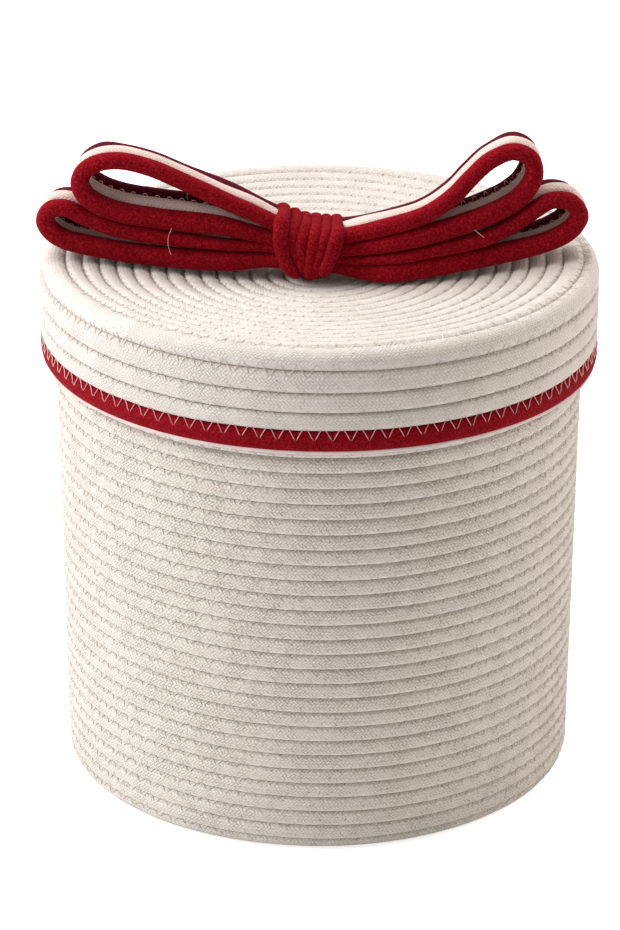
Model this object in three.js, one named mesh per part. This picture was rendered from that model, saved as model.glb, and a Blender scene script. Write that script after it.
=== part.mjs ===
// Round lidded basket coiled from thick braided cotton rope, with a rope bow on its lid.
// Millimetres, +Z up. The origin is the centre of the base, the front faces -Y
// and the bow's loops lie along X.
import * as THREE from "three";
import { mergeVertices } from "three/addons/utils/BufferGeometryUtils.js";

// Driving dimensions shared by the pieces
const clearance = 0.3; // between two pieces that touch
const columns = 32; // facets around the basket
const climbAtBack = 0.4; // share of each turn's climb that the coil makes behind the middle

// Basket
const footRadius = 123; // outside of the wall, just above the rounded base corner
const bodyRadius = 126; // outside of the wall at the lid's lower edge, its widest place
const rimDrawIn = 2; // the wall draws in by this much under the lid
const bodyHeight = 248; // top of the rim
const cornerRadius = 5.5; // outside corner between base and wall
const wallThickness = 8; // one rope
const floorThickness = 8; // one rope
const coursePitch = 7.57; // height of one rope in the wall
const coursePhase = 0.07; // where the seams stand at the front, in courses
const bodyGroove = 1.5; // depth of the seam between two courses

// Lid
const lidPlay = 0.7; // between the basket's widest place and the inside of the skirt
const skirtThickness = 6.5; // the rope is pressed flat here
const lidThickness = 8; // top plate
const shoulderWidth = 10.7; // the rope that turns the lid's corner
const shoulderHeight = 9.8;
const topPitch = 8; // width of one rope in the dished top
const skirtPitch = 9.6; // height of one rope in the skirt
const creamCourses = 3; // cream ropes in the skirt, under the shoulder
const dishDepth = 11; // how far the top's centre lies below the shoulder
const lidGroove = 1.6; // depth of the seam between two ropes
const edgeCordWidth = 2.2; // thin cord under the trim

// Bow
const bowRopeWidth = 8.6; // one rope of the strap
const ropeGap = 0.4; // between the three ropes of a strap, side by side
const pinchHeight = 5.3; // a strap's rope where the knot squeezes it flat
const pressed = 0.11; // an upper strand is this share thinner than round, a lower one thicker
const backRopeSag = 1.6; // the back rope of an upper strand lies this much lower than the others
const sagStart = 40; // from the knot's middle
const sagFull = 90;
const liftStart = 28; // from the knot's middle, where a lower strand's ropes start to rise or fall
const liftFull = 62;
const knotX = -5; // middle of the knot, left of the lid's centre
const knotY = -5; // and in front of it
const knotSkew = 0.15; // the bow's right side comes forward by this much per millimetre
const knotTurns = 6;
const windingWidth = 4.85; // the knot's own rope, pulled tight
const windingPitch = 5.65;
const windingDrawIn = 0.06; // the turns lie closer under the bow than above it
const windingCorner = 6; // bend of the winding around the strap's edges

// Sizes that follow
const rimRadius = bodyRadius - rimDrawIn;
const skirtInside = bodyRadius + lidPlay;
const lidRadius = skirtInside + skirtThickness;
const dishRadius = lidRadius - shoulderWidth;
const rimMiddle = rimRadius - wallThickness / 2;
const dishDropAtRim = dishDepth * (1 - (rimMiddle / dishRadius) ** 2);
const crestZ = bodyHeight + clearance + lidThickness + dishDropAtRim;
const dishCentreZ = crestZ - dishDepth;
const firstSeamZ = crestZ - shoulderHeight;
const shoulderCourse = dishRadius / topPitch; // courses from the lid's centre to the shoulder
const creamEnd = shoulderCourse + 1 + creamCourses;
const creamEndZ = firstSeamZ - creamCourses * skirtPitch;
const coverZ = creamEndZ - skirtPitch - edgeCordWidth;
const backAngle = Math.PI / 2;
const frontAngle = backAngle + Math.PI;

const cream = { color: 0xe9e2d6, roughness: 0.95, metalness: 0 };
const red = { color: 0xa31423, roughness: 0.9, metalness: 0 };

// The height that a coil has gained at an angle, in courses, counted from the front.
function climb(angle) {
  const turned = angle + climbAtBack * Math.sin(angle - backAngle);
  return (turned - frontAngle) / (2 * Math.PI);
}

// A column's angle. Column 0 and the last one both stand at the back, a turn apart.
function columnAngle(column) {
  return backAngle + (2 * Math.PI * column) / columns;
}

function around(radius, z, column) {
  const angle = columnAngle(column);
  return new THREE.Vector3(radius * Math.cos(angle), radius * Math.sin(angle), z);
}

// Collects facets and turns them into one closed geometry.
class Facets {
  constructor() {
    this.corners = [];
  }

  triangle(a, b, c) {
    this.corners.push(a, b, c);
  }

  quad(a, b, c, d) {
    this.triangle(a, b, c);
    this.triangle(a, c, d);
  }

  // A fan over a flat face, given in the order of its outline.
  face(outline) {
    for (let i = 1; i + 1 < outline.length; i++) this.triangle(outline[0], outline[i], outline[i + 1]);
  }

  // Bands between rings of points, one ring above the next.
  bands(rings) {
    for (let k = 0; k + 1 < rings.length; k++) {
      const [low, high] = [rings[k], rings[k + 1]];
      for (let i = 0; i + 1 < low.length; i++) this.quad(low[i], low[i + 1], high[i + 1], high[i]);
    }
  }

  // Merges shared corners and drops the facets that close up to nothing.
  geometry() {
    const loose = new THREE.BufferGeometry().setFromPoints(this.corners);
    const merged = mergeVertices(loose, 1e-3);
    const index = merged.index.array;
    const kept = [];
    for (let i = 0; i < index.length; i += 3) {
      const [a, b, c] = [index[i], index[i + 1], index[i + 2]];
      if (a !== b && b !== c && c !== a) kept.push(a, b, c);
    }
    merged.setIndex(kept);
    merged.computeVertexNormals();
    return merged;
  }
}

// A ring of columns at one radius and height. It closes on its first point.
function ring(radius, z) {
  return Array.from({ length: columns + 1 }, (_, i) => around(radius, z, i));
}

// Rows of one course, as shares of its height: the seam, then the rope's flat crest.
const courseRows = [0, 0.28, 0.72];

function rowCourse(row) {
  return Math.floor(row / courseRows.length) + courseRows[row % courseRows.length];
}

// The wall leans out to the lid's lower edge and draws in again under the lid.
function wallRadius(z) {
  if (z <= coverZ) {
    const rise = (z - cornerRadius) / (coverZ - cornerRadius);
    return footRadius + (bodyRadius - footRadius) * rise;
  }
  const rise = (z - coverZ) / (bodyHeight - coverZ);
  return bodyRadius - rimDrawIn * rise ** 2;
}

const cornerLength = (Math.PI / 2) * cornerRadius;
const rimRound = wallThickness / 2;
const wallLength = cornerLength + bodyHeight - rimRound - cornerRadius;

// A point on the basket's outside, by its distance along the profile from the base,
// lowered into the rope by depth.
function wallPoint(distance, depth) {
  if (distance < cornerLength) {
    const angle = distance / cornerRadius;
    const reach = cornerRadius - depth;
    return [footRadius - cornerRadius + reach * Math.sin(angle), cornerRadius - reach * Math.cos(angle)];
  }
  const z = cornerRadius + distance - cornerLength;
  return [wallRadius(z) - depth, z];
}

// Seams fade out at the base and at the rim, where the rope's ends are tapered.
function seamFade(distance) {
  return Math.max(0, Math.min(1, distance / coursePitch, (wallLength - distance) / coursePitch));
}

function bodyRow(row) {
  return Array.from({ length: columns + 1 }, (_, i) => {
    const course = rowCourse(row) + coursePhase - 1 - climb(columnAngle(i));
    const distance = THREE.MathUtils.clamp(course * coursePitch, 0, wallLength);
    const isSeam = row % courseRows.length === 0;
    const depth = isSeam ? bodyGroove * seamFade(distance) : 0;
    const [radius, z] = wallPoint(distance, depth);
    return around(radius, z, i);
  });
}

// Base, wall and rim: one rope wound out over the base and up the wall, sewn turn to turn.
function bodyCoil() {
  const facets = new Facets();
  const rows = courseRows.length * (Math.ceil(wallLength / coursePitch) + 3);
  const outside = Array.from({ length: rows + 1 }, (_, row) => bodyRow(row));
  const insideRadius = (z) => wallRadius(z) - wallThickness;
  const innerCorner = wallThickness / 2;
  const halfRound = Math.SQRT1_2 * rimRound; // half way round the rim's quarter circles
  const rim = [
    ring(rimRadius, bodyHeight - rimRound),
    ring(rimMiddle + halfRound, bodyHeight - rimRound + halfRound),
    ring(rimMiddle, bodyHeight),
    ring(rimMiddle - halfRound, bodyHeight - rimRound + halfRound),
    ring(rimMiddle - rimRound, bodyHeight - rimRound),
  ];
  const inside = [
    ring(insideRadius(coverZ), coverZ),
    ring(insideRadius(floorThickness + innerCorner), floorThickness + innerCorner),
    ring(insideRadius(floorThickness + innerCorner) - innerCorner, floorThickness),
    ring(0, floorThickness),
  ];
  outside[outside.length - 1] = ring(wallPoint(wallLength, 0)[0], bodyHeight - rimRound);
  facets.bands([ring(0, 0), ring(footRadius - cornerRadius, 0)]);
  facets.bands(outside);
  facets.bands([outside[outside.length - 1], ...rim.slice(1), ...inside]);
  return facets.geometry();
}

function dishZ(radius) {
  return crestZ - dishDepth * (1 - (radius / dishRadius) ** 2);
}

// A point on the lid's outside, by its course counted out from the centre: the dished top,
// the rounded shoulder, then the upright skirt. It is lowered into the rope by depth.
function lidPoint(course, depth) {
  if (course <= shoulderCourse) return [course * topPitch, dishZ(course * topPitch) - depth];
  if (course <= shoulderCourse + 1) {
    const angle = ((course - shoulderCourse) * Math.PI) / 2;
    const squareness = 0.8;
    const out = Math.sin(angle) ** squareness;
    const up = Math.max(0, Math.cos(angle)) ** squareness;
    return [
      dishRadius + (shoulderWidth - depth) * out,
      firstSeamZ + (shoulderHeight - depth) * up,
    ];
  }
  return [lidRadius - depth, firstSeamZ - (course - shoulderCourse - 1) * skirtPitch];
}

// The lid's lower edge follows the coil, so it drops by one course around the lid.
function skirtEdgeZ(angle) {
  return creamEndZ - climb(angle) * skirtPitch;
}

const lidCentreCourses = 1; // the coil's first turn is left flat

function lidRow(row) {
  return Array.from({ length: columns + 1 }, (_, i) => {
    const course = creamEnd + climb(columnAngle(i)) - rowCourse(row);
    if (course < lidCentreCourses) return new THREE.Vector3(0, 0, dishCentreZ);
    const isSeam = row % courseRows.length === 0;
    const [radius, z] = lidPoint(course, isSeam ? lidGroove : 0);
    return around(radius, z, i);
  });
}

// Top, shoulder and cream skirt of the lid: one rope wound from the centre outwards.
// The rope's end stands at the back as a step, where the red trim carries on.
function lidCoil() {
  const facets = new Facets();
  const turnRows = courseRows.length;
  const rows = turnRows * (Math.ceil(creamEnd) + 1);
  const outside = Array.from({ length: rows + 1 }, (_, row) => lidRow(row));
  const edge = Array.from({ length: columns + 1 }, (_, i) =>
    around(skirtInside, skirtEdgeZ(columnAngle(i)), i),
  );
  const innerCorner = 3; // where the skirt's inside meets the top's underside
  const underside = (radius) => dishZ(radius) - lidThickness;
  const cornerStart = skirtInside - innerCorner;
  const upperRing = ring(skirtInside, underside(cornerStart) - innerCorner);
  const under = [0, 0.3, 0.55, 0.78, 0.92].map((share) => share * dishRadius);
  facets.bands([
    ...under.map((radius) => ring(radius, underside(radius))),
    ring(cornerStart, underside(cornerStart)),
    upperRing,
  ]);
  for (let i = 0; i + 1 < columns; i++) {
    facets.quad(upperRing[i], upperRing[i + 1], edge[i + 1], edge[i]);
  }
  const last = columns - 1;
  facets.face([upperRing[last], upperRing[columns], edge[0], edge[columns], edge[last]]);
  facets.bands([edge, outside[0]]);
  facets.bands(outside);
  const stepRows = outside.slice(1, turnRows + 1).map((points) => points[columns]);
  facets.face([edge[0], ...stepRows.reverse(), outside[0][columns], edge[columns]]);
  return facets.geometry();
}

// A tube through rings of points. An open tube gets a flat end at both ends.
function tube(rings, isClosed) {
  const facets = new Facets();
  const loops = rings.map((points) => [...points, points[0]]);
  if (isClosed) loops.push(loops[0]);
  facets.bands(loops);
  if (!isClosed) {
    facets.face([...rings[0]].reverse());
    facets.face(rings[rings.length - 1]);
  }
  return facets.geometry();
}

// Section outline of a rope pressed flat: an octagon with its corners rounded off.
function pressedSection(width, height, corner) {
  const [w, h] = [width / 2, height / 2];
  return [
    [w, -h + corner],
    [w, h - corner],
    [w - corner / 2, h],
    [-w + corner / 2, h],
    [-w, h - corner],
    [-w, -h + corner],
    [-w + corner / 2, -h],
    [w - corner / 2, -h],
  ];
}

function roundSection(sides, halfWidth, halfHeight) {
  return Array.from({ length: sides }, (_, i) => {
    const angle = (2 * Math.PI * i) / sides;
    return [halfWidth * Math.cos(angle), halfHeight * Math.sin(angle)];
  });
}

// A rope laid once around the lid below the coil, from one side of the back to the other.
function hoop(section, radius, drop) {
  const endGap = clearance / radius;
  const rings = Array.from({ length: columns + 1 }, (_, i) => {
    const nudge = i === 0 ? endGap : i === columns ? -endGap : 0;
    const angle = columnAngle(i) + nudge;
    const z = skirtEdgeZ(angle) - drop;
    return section.map(
      ([out, up]) =>
        new THREE.Vector3((radius + out) * Math.cos(angle), (radius + out) * Math.sin(angle), z + up),
    );
  });
  return tube(rings.map((points) => points.reverse()), false);
}

function trimRope() {
  const height = skirtPitch - clearance;
  const corner = skirtThickness * 0.4; // its rounded corners
  const section = pressedSection(skirtThickness, height, corner);
  return hoop(section, skirtInside + skirtThickness / 2, clearance + height / 2);
}

function edgeCord() {
  const sides = 6;
  const section = roundSection(sides, edgeCordWidth / 2, edgeCordWidth / 2);
  const radius = skirtInside + skirtThickness * 0.6; // under the outer half of the trim
  return hoop(section, radius, skirtPitch + clearance + edgeCordWidth / 2);
}

// The strands of both straps lie one above the other in the knot, the lowest one first.
function strandZ(slot) {
  const lowest = clearance + windingWidth + clearance + pinchHeight / 2;
  return lowest + slot * (pinchHeight + clearance);
}

const knotHalfWidth = (knotTurns / 2) * windingPitch + windingWidth / 2;

function knotLine(x) {
  return knotY - knotSkew * (x - knotX);
}

// A strand's straight run through the knot, from left to right.
function knotPass(slot) {
  const half = knotHalfWidth + ropeGap;
  return [-1, -0.5, 0.5, 1].map((share) => {
    const x = knotX + share * half;
    return [x, knotLine(x), strandZ(slot)];
  });
}

// Routes of the two straps, each a flat ring pinched by the knot, from the knot over the left
// loop and back. Points are [x, the middle rope's y, the front rope's height above the
// lid's centre].
const upperRoute = [
  ...knotPass(3).reverse(),
  [-32, -1.5, 31.6],
  [-40, -1, 36.9],
  [-52, -0.4, 42],
  [-66, 0, 49.2],
  [-80, 0, 55.4],
  [-94, 0, 58.7],
  [-104, 0, 57.6],
  [-110.3, 0, 54],
  [-112.9, 0, 48.5],
  [-110.8, 0, 42.3],
  [-104, 0, 37],
  [-94, 0, 33.3],
  [-80, 0, 30.7],
  [-62, 0, 28.4],
  [-46, -0.7, 26.9],
  [-35, -1.2, 24],
  ...knotPass(2),
  [38, -10, 22.9],
  [62, -6.5, 28.4],
  [78, -4, 33.5],
  [89, -2.4, 38.5],
  [96.5, -1.4, 44.6],
  [100.6, -1, 53.2],
  [98.2, -1, 60.6],
  [90.8, -1, 63.9],
  [80, -1.5, 59],
  [71, -2.9, 51.4],
  [62.5, -4.8, 43.2],
  [50, -8, 35.4],
  [32, -10, 30],
];
const lowerRoute = [
  ...knotPass(1).reverse(),
  [-46, -1, 17.7],
  [-74, 0, 20.9],
  [-96, 0, 24.9],
  [-111, 0, 30.9],
  [-120, 0, 35.2],
  [-126.8, 0, 34.4],
  [-129.6, 0, 29.4],
  [-127.2, 0, 24.2],
  [-120.5, 0, 19.7],
  [-110, 0, 15.9],
  [-84, 0, 11.2],
  [-50, -1, 9.2],
  ...knotPass(0),
  [28, -9.4, 6.9],
  [38, -10, 7.1],
  [60, -7, 9.4],
  [84, -3, 13],
  [108, -1.5, 19],
  [119, -1, 26],
  [122.4, -1, 33],
  [118, -1, 39.4],
  [109, -1, 40],
  [100, -1.4, 34.6],
  [91, -2.2, 28.5],
  [80, -3.9, 23.2],
  [69, -5.7, 20.3],
  [55, -7.8, 17.9],
  [40, -10, 15.2],
];

// leftLift and rightLift are the heights of a lower strand's front, middle and back rope over
// its route. The upper and lower strands are round again over these lengths from the knot.
const straps = [
  {
    name: "upper",
    route: upperRoute,
    leftLift: [0, 1.9, 3.5],
    rightLift: [0, 0.4, 0.6],
    roundedTop: 14,
    roundedBottom: 36,
  },
  {
    name: "lower",
    route: lowerRoute,
    leftLift: [0, -1, -1.2],
    rightLift: [0, -1, -0.8],
    roundedTop: 70,
    roundedBottom: 14,
  },
];
const stepsBetweenPoints = 2;

// One rope of a strap, a closed ring. place is -1 for the front rope, 1 for the back one.
function strapRope(strap, place) {
  const sides = 7;
  const { lerp, smoothstep } = THREE.MathUtils;
  const half = bowRopeWidth / 2;
  const aside = place * (bowRopeWidth + ropeGap);
  const sag = place === 1 ? backRopeSag : 0;
  const points = strap.route.map(([x, y, z]) => new THREE.Vector3(x, y, z + dishCentreZ));
  const curve = new THREE.CatmullRomCurve3(points, true, "centripetal");
  const steps = strap.route.length * stepsBetweenPoints;
  const across = new THREE.Vector3(0, 1, 0);
  const rings = Array.from({ length: steps }, (_, i) => {
    const centre = curve.getPoint(i / steps);
    const along = curve.getTangent(i / steps);
    const side = across.clone().addScaledVector(along, -along.y).normalize();
    const outward = new THREE.Vector3().crossVectors(along, side);
    const below = (1 + outward.z) / 2; // 0 in the upper strand, 1 in the lower one
    const roundedOver = lerp(strap.roundedTop, strap.roundedBottom, below);
    const away = Math.abs(centre.x - knotX);
    const rounded = smoothstep(away - knotHalfWidth - ropeGap, 0, roundedOver);
    const halfHeight = lerp(pinchHeight / 2, half * (1 + pressed * outward.z), rounded);
    const lift = (centre.x < knotX ? strap.leftLift : strap.rightLift)[place + 1];
    const raised = lift * smoothstep(away, liftStart, liftFull) * Math.max(0, outward.z);
    const lowered = sag * smoothstep(away, sagStart, sagFull) * Math.max(0, -outward.z);
    centre.addScaledVector(across, aside);
    centre.z += raised - lowered;
    return roundSection(sides, half, halfHeight).map(([w, h]) =>
      centre.clone().addScaledVector(side, w).addScaledVector(outward, h),
    );
  });
  return tube(rings, true);
}

// Steps of one turn of the knot's rope around the straps: three bends a corner and two
// points on each side, from the middle of the back upwards.
function windingTurn() {
  const strapHalf = (3 * bowRopeWidth + 2 * ropeGap) / 2;
  const halfY = strapHalf + ropeGap + windingWidth / 2;
  const halfZ = (strandZ(3) - strandZ(0) + pinchHeight) / 2 + clearance + windingWidth / 2;
  const [flatY, flatZ] = [halfY - windingCorner, halfZ - windingCorner];
  const corners = [
    { y: flatY, z: flatZ, from: 0 },
    { y: -flatY, z: flatZ, from: 90 },
    { y: -flatY, z: -flatZ, from: 180 },
    { y: flatY, z: -flatZ, from: 270 },
  ];
  const bends = corners.map(({ y, z, from }) =>
    [0, 30, 60, 90].map((degrees) => {
      const angle = THREE.MathUtils.degToRad(from + degrees);
      return [y + windingCorner * Math.cos(angle), z + windingCorner * Math.sin(angle)];
    }),
  );
  const sides = bends.map((bend, i) => {
    const [from, to] = [bend[3], bends[(i + 1) % 4][0]];
    return [1 / 3, 2 / 3].map((t) => from.map((value, axis) => value + (to[axis] - value) * t));
  });
  return bends.flatMap((bend, i) => [...bend, ...sides[i]]);
}

// The knot's rope as one unbroken line, both ends lying straight up the back of the bow.
function windingLine() {
  const turn = windingTurn();
  const perTurn = turn.length;
  const halfZ = Math.max(...turn.map(([, z]) => z));
  const middleZ = dishCentreZ + (strandZ(0) + strandZ(3)) / 2;
  const total = knotTurns * perTurn;
  return Array.from({ length: total + 1 }, (_, i) => {
    const [y, z] = i === 0 || i === total ? [turn[0][0], 0] : turn[i % perTurn];
    const spread = 1 + (windingDrawIn * z) / halfZ;
    const x = knotX + (i / perTurn - knotTurns / 2) * windingPitch * spread;
    return new THREE.Vector3(x, knotLine(x) + y, middleZ + z);
  });
}

// The least gap between two turns, on the points of the line.
function leastGap(line, perTurn, width) {
  let least = Infinity;
  for (let i = 0; i < line.length; i++) {
    for (let j = i + Math.floor(perTurn / 2); j < line.length; j++) {
      least = Math.min(least, line[i].distanceTo(line[j]) - width);
    }
  }
  return least;
}

function knotRope() {
  const sides = 6;
  const line = windingLine();
  const gap = leastGap(line, windingTurn().length, windingWidth);
  console.log(`knot: least gap between two turns ${gap.toFixed(2)} mm`);
  const half = windingWidth / 2;
  const rings = line.map((centre, i) => {
    const before = line[Math.max(0, i - 1)];
    const after = line[Math.min(line.length - 1, i + 1)];
    const along = after.clone().sub(before).normalize();
    const side = new THREE.Vector3(1, 0, 0).addScaledVector(along, -along.x).normalize();
    const outward = new THREE.Vector3().crossVectors(along, side);
    return roundSection(sides, half, half).map(([w, h]) =>
      centre.clone().addScaledVector(side, w).addScaledVector(outward, h),
    );
  });
  return tube(rings, false);
}

function piece(name, geometry, finish) {
  const mesh = new THREE.Mesh(geometry, new THREE.MeshStandardMaterial(finish));
  mesh.name = name;
  return mesh;
}

const basket = new THREE.Group();
basket.add(piece("body_coil", bodyCoil(), cream));

const lid = new THREE.Group();
lid.add(piece("lid_coil", lidCoil(), cream));
lid.add(piece("lid_trim_rope", trimRope(), red));
lid.add(piece("lid_edge_cord", edgeCord(), cream));

const ropes = [
  { name: "front", place: -1, finish: red },
  { name: "middle", place: 0, finish: cream },
  { name: "back", place: 1, finish: red },
];
const bow = new THREE.Group();
for (const { name, place, finish } of ropes) {
  for (const strap of straps) {
    bow.add(piece(`bow_${strap.name}_${name}_rope`, strapRope(strap, place), finish));
  }
}
bow.add(piece("knot_rope", knotRope(), red));
lid.add(bow);

const group = new THREE.Group();
group.add(basket, lid);

export default group;
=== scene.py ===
import math

import bpy
import numpy as np
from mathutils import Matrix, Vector, noise


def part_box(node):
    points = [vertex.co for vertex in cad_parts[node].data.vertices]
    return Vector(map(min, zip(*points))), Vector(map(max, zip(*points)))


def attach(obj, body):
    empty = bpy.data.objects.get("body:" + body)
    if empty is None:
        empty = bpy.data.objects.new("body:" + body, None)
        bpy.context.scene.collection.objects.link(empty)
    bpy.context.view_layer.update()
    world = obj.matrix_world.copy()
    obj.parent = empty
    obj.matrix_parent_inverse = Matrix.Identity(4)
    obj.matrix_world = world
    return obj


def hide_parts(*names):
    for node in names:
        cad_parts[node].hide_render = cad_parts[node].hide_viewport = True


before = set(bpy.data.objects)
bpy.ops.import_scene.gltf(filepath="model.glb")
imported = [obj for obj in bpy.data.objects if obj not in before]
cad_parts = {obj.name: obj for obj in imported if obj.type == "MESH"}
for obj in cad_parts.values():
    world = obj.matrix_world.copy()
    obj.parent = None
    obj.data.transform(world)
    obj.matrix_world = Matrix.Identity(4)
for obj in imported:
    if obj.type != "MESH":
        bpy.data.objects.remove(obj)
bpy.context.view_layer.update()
mm = 0.001
fullTurn = 2 * math.pi
quarterTurn = math.pi / 2
print("frame loaded:", len(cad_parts), "nodes")


# Node trees, for materials and for Geometry Nodes alike

def findSocket(sockets, key):
    # by place or by identifier
    return sockets[key] if isinstance(key, int) else next(s for s in sockets if s.identifier == key)


class Flow:
    # a number or vector that runs through a tree; each operator adds a Math node
    def __init__(self, tree, socket):
        self.tree = tree
        self.socket = socket

    def math(self, operation, *values):
        return self.tree.add("ShaderNodeMath", {"operation": operation}, values)

    __add__ = lambda self, other: self.math("ADD", self, other)
    __radd__ = lambda self, other: self.math("ADD", other, self)
    __sub__ = lambda self, other: self.math("SUBTRACT", self, other)
    __rsub__ = lambda self, other: self.math("SUBTRACT", other, self)
    __mul__ = lambda self, other: self.math("MULTIPLY", self, other)
    __rmul__ = lambda self, other: self.math("MULTIPLY", other, self)
    __truediv__ = lambda self, other: self.math("DIVIDE", self, other)
    __rtruediv__ = lambda self, other: self.math("DIVIDE", other, self)
    __pow__ = lambda self, other: self.math("POWER", self, other)
    __mod__ = lambda self, other: self.math("FLOORED_MODULO", self, other)
    __abs__ = lambda self: self.math("ABSOLUTE", self)

    sin = lambda self: self.math("SINE", self)
    cos = lambda self: self.math("COSINE", self)
    floor = lambda self: self.math("FLOOR", self)
    least = lambda self, other: self.math("MINIMUM", self, other)
    most = lambda self, other: self.math("MAXIMUM", self, other)
    above = lambda self, other: self.math("GREATER_THAN", self, other)

    def within(self, low, high):
        return self.most(low).least(high)

    def smooth(self, low, high):
        # 0 below low and 1 above high, eased in between
        span = {"Value": self, "From Min": low, "From Max": high}
        return self.tree.add("ShaderNodeMapRange", {"interpolation_type": "SMOOTHSTEP"}, span)

    def parts(self):
        return [self.tree.add("ShaderNodeSeparateXYZ", {}, [self], axis) for axis in range(3)]


class Tree:
    def __init__(self, nodeTree):
        self.nodeTree = nodeTree

    def add(self, kind, settings=None, values=(), output=0):
        # settings first, then the values or links of the inputs
        node = self.nodeTree.nodes.new(kind)
        for name, value in (settings or {}).items():
            setattr(node, name, value)
        for key, value in values.items() if isinstance(values, dict) else enumerate(values):
            socket = findSocket(node.inputs, key)
            if isinstance(value, Flow):
                self.nodeTree.links.new(value.socket, socket)
            else:
                socket.default_value = (*value, 1.0) if socket.type == "RGBA" else value
        if output is None:
            return node
        return Flow(self, findSocket(node.outputs, output))

    def vector(self, x, y, z):
        return self.add("ShaderNodeCombineXYZ", {}, [x, y, z])

    def scaled(self, vector, scale):
        return self.add("ShaderNodeVectorMath", {"operation": "SCALE"}, {0: vector, "Scale": scale})

    def mixColours(self, factor, first, second):
        values = {"Factor_Float": factor, "A_Color": first, "B_Color": second}
        return self.add("ShaderNodeMix", {"data_type": "RGBA"}, values, "Result_Color")

    def noise(self, place, scale, detail, output=0):
        values = {"Vector": place, "Scale": scale, "Detail": detail}
        return self.add("ShaderNodeTexNoise", {}, values, output)

    def setPosition(self, geometry, **places):
        return self.add("GeometryNodeSetPosition", {}, {"Geometry": geometry, **places})

    def fabric(self, look, relief):
        # the closing nodes of rope and thread
        look["Normal"] = self.add("ShaderNodeBump", {}, relief)
        shader = self.add("ShaderNodeBsdfPrincipled", {}, look)
        self.add("ShaderNodeOutputMaterial", {}, {"Surface": shader}, None)


def emptyTree(owner):
    # the cleared node tree of a material or of the world
    owner.use_nodes = True
    owner.node_tree.nodes.clear()
    return Tree(owner.node_tree)


def addObject(name, data):
    item = bpy.data.objects.new(name, data)
    bpy.context.scene.collection.objects.link(item)
    return item


# Materials: braided cotton rope, sewing thread

def braidHeight(tree, u, v, strands, yarns):
    # height of a two-over-two braid, 0 in the gaps and 1 on a yarn's back; u and v count rope
    # girths, along the rope and round it
    p = (u + v) * strands
    q = (u - v) * strands
    cellP = p.floor()
    cellQ = q.floor()
    alongP = p - cellP
    alongQ = q - cellQ
    order = (cellP - cellQ) % 4
    isOther = order.above(1.5)
    across = alongP + (alongQ - alongP) * isOther
    first = (1 - order + alongQ) / 2
    other = (order - 2 + alongP) / 2
    along = first + (other - first) * isOther
    ridge = 1 - (across * 2 - 1) ** 4
    arch = 1 - abs(along * 2 - 1) ** 3
    yarn = 0.5 - (across * (fullTurn * yarns)).cos() * 0.5
    yarnShare = 0.6  # of the height, the rest being the strand's own round back
    return arch * (ridge * (1 - yarnShare) + yarn * yarnShare)


def ropeMaterial(spec):
    material = bpy.data.materials.new(spec["name"])
    tree = emptyTree(material)
    _, around, _ = tree.add("ShaderNodeUVMap", {"uv_map": "UVMap"}).parts()
    u, v, _ = tree.add("ShaderNodeUVMap", {"uv_map": spec["braidMap"]}).parts()
    place = tree.add("ShaderNodeTexCoord", {}, (), "Object")

    def cloud(label, detail=1):
        return tree.noise(place, spec[label + "Scale"], detail)

    def shaded(tone, mask, label, share):
        # lays a named colour over the tone, where the mask lies in that shade's range
        return tree.mixColours(mask.smooth(*spec[label + "Range"]) * share, tone, spec[label + "Colour"])

    slip = (cloud("wander") - 0.5) * spec["wander"]
    shiver = (cloud("shiver") - 0.5) * spec["shiver"]
    alongRope = u + slip + shiver
    roundRope = v + slip * spec["slipRound"] - shiver
    braid = braidHeight(tree, alongRope, roundRope, spec["strands"], spec["yarns"])
    fuzz = cloud("fuzz", 3)
    clear = 1 - spec["worn"] + spec["worn"] * cloud("worn", 2).smooth(*spec["wornRange"])
    height = braid * clear * (1 - spec["fuzz"]) + fuzz * spec["fuzz"]
    # painted shade: the braid's gaps between strands and yarns are darkened, as if in shadow
    tone = shaded(spec["colour"], 1 - braid, "gap", clear * spec["gapShade"])
    tone = shaded(tone, cloud("patch", 2), "patch", spec["patch"])
    tone = shaded(tone, fuzz, "lint", spec["lint"])
    tone = shaded(tone, cloud("fleck"), "fleck", spec["fleck"])
    if spec["seamShade"]:
        girth = around * fullTurn
        # painted shade on each course's upper part, under the seam
        tone = shaded(tone, girth.sin(), "shadeUnderSeam", spec["shadeUnderSeam"])
        # painted light on each course's lower part, above the seam
        tone = shaded(tone, 0 - girth.sin(), "lightOverSeam", spec["lightOverSeam"])
        # painted shade along each seam's groove, its edge broken a little by noise
        ragged = (fuzz + cloud("ragged") - 1) * spec["ragged"]
        seam = 1 - (abs(girth.cos()) + ragged).smooth(spec["seamFrom"], spec["seamReach"])
        _, _, high = place.parts()
        calm = 1 - high.smooth(*spec["calmFrom"]) * spec["calm"]
        tone = tree.mixColours(seam * calm * spec["seamShade"], tone, spec["seamShadowColour"])
    relief = {"Strength": spec["bumpStrength"], "Distance": spec["bump"], "Height": height}
    look = {
        "Base Color": tone,
        "Roughness": spec["roughness"] - spec["fuzzGloss"] * fuzz,
        "Specular IOR Level": spec["specular"],
        "Sheen Weight": spec["sheen"],
        "Sheen Roughness": spec["sheenRoughness"],
        "Sheen Tint": spec["sheenColour"],
    }
    tree.fabric(look, relief)
    return material


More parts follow.
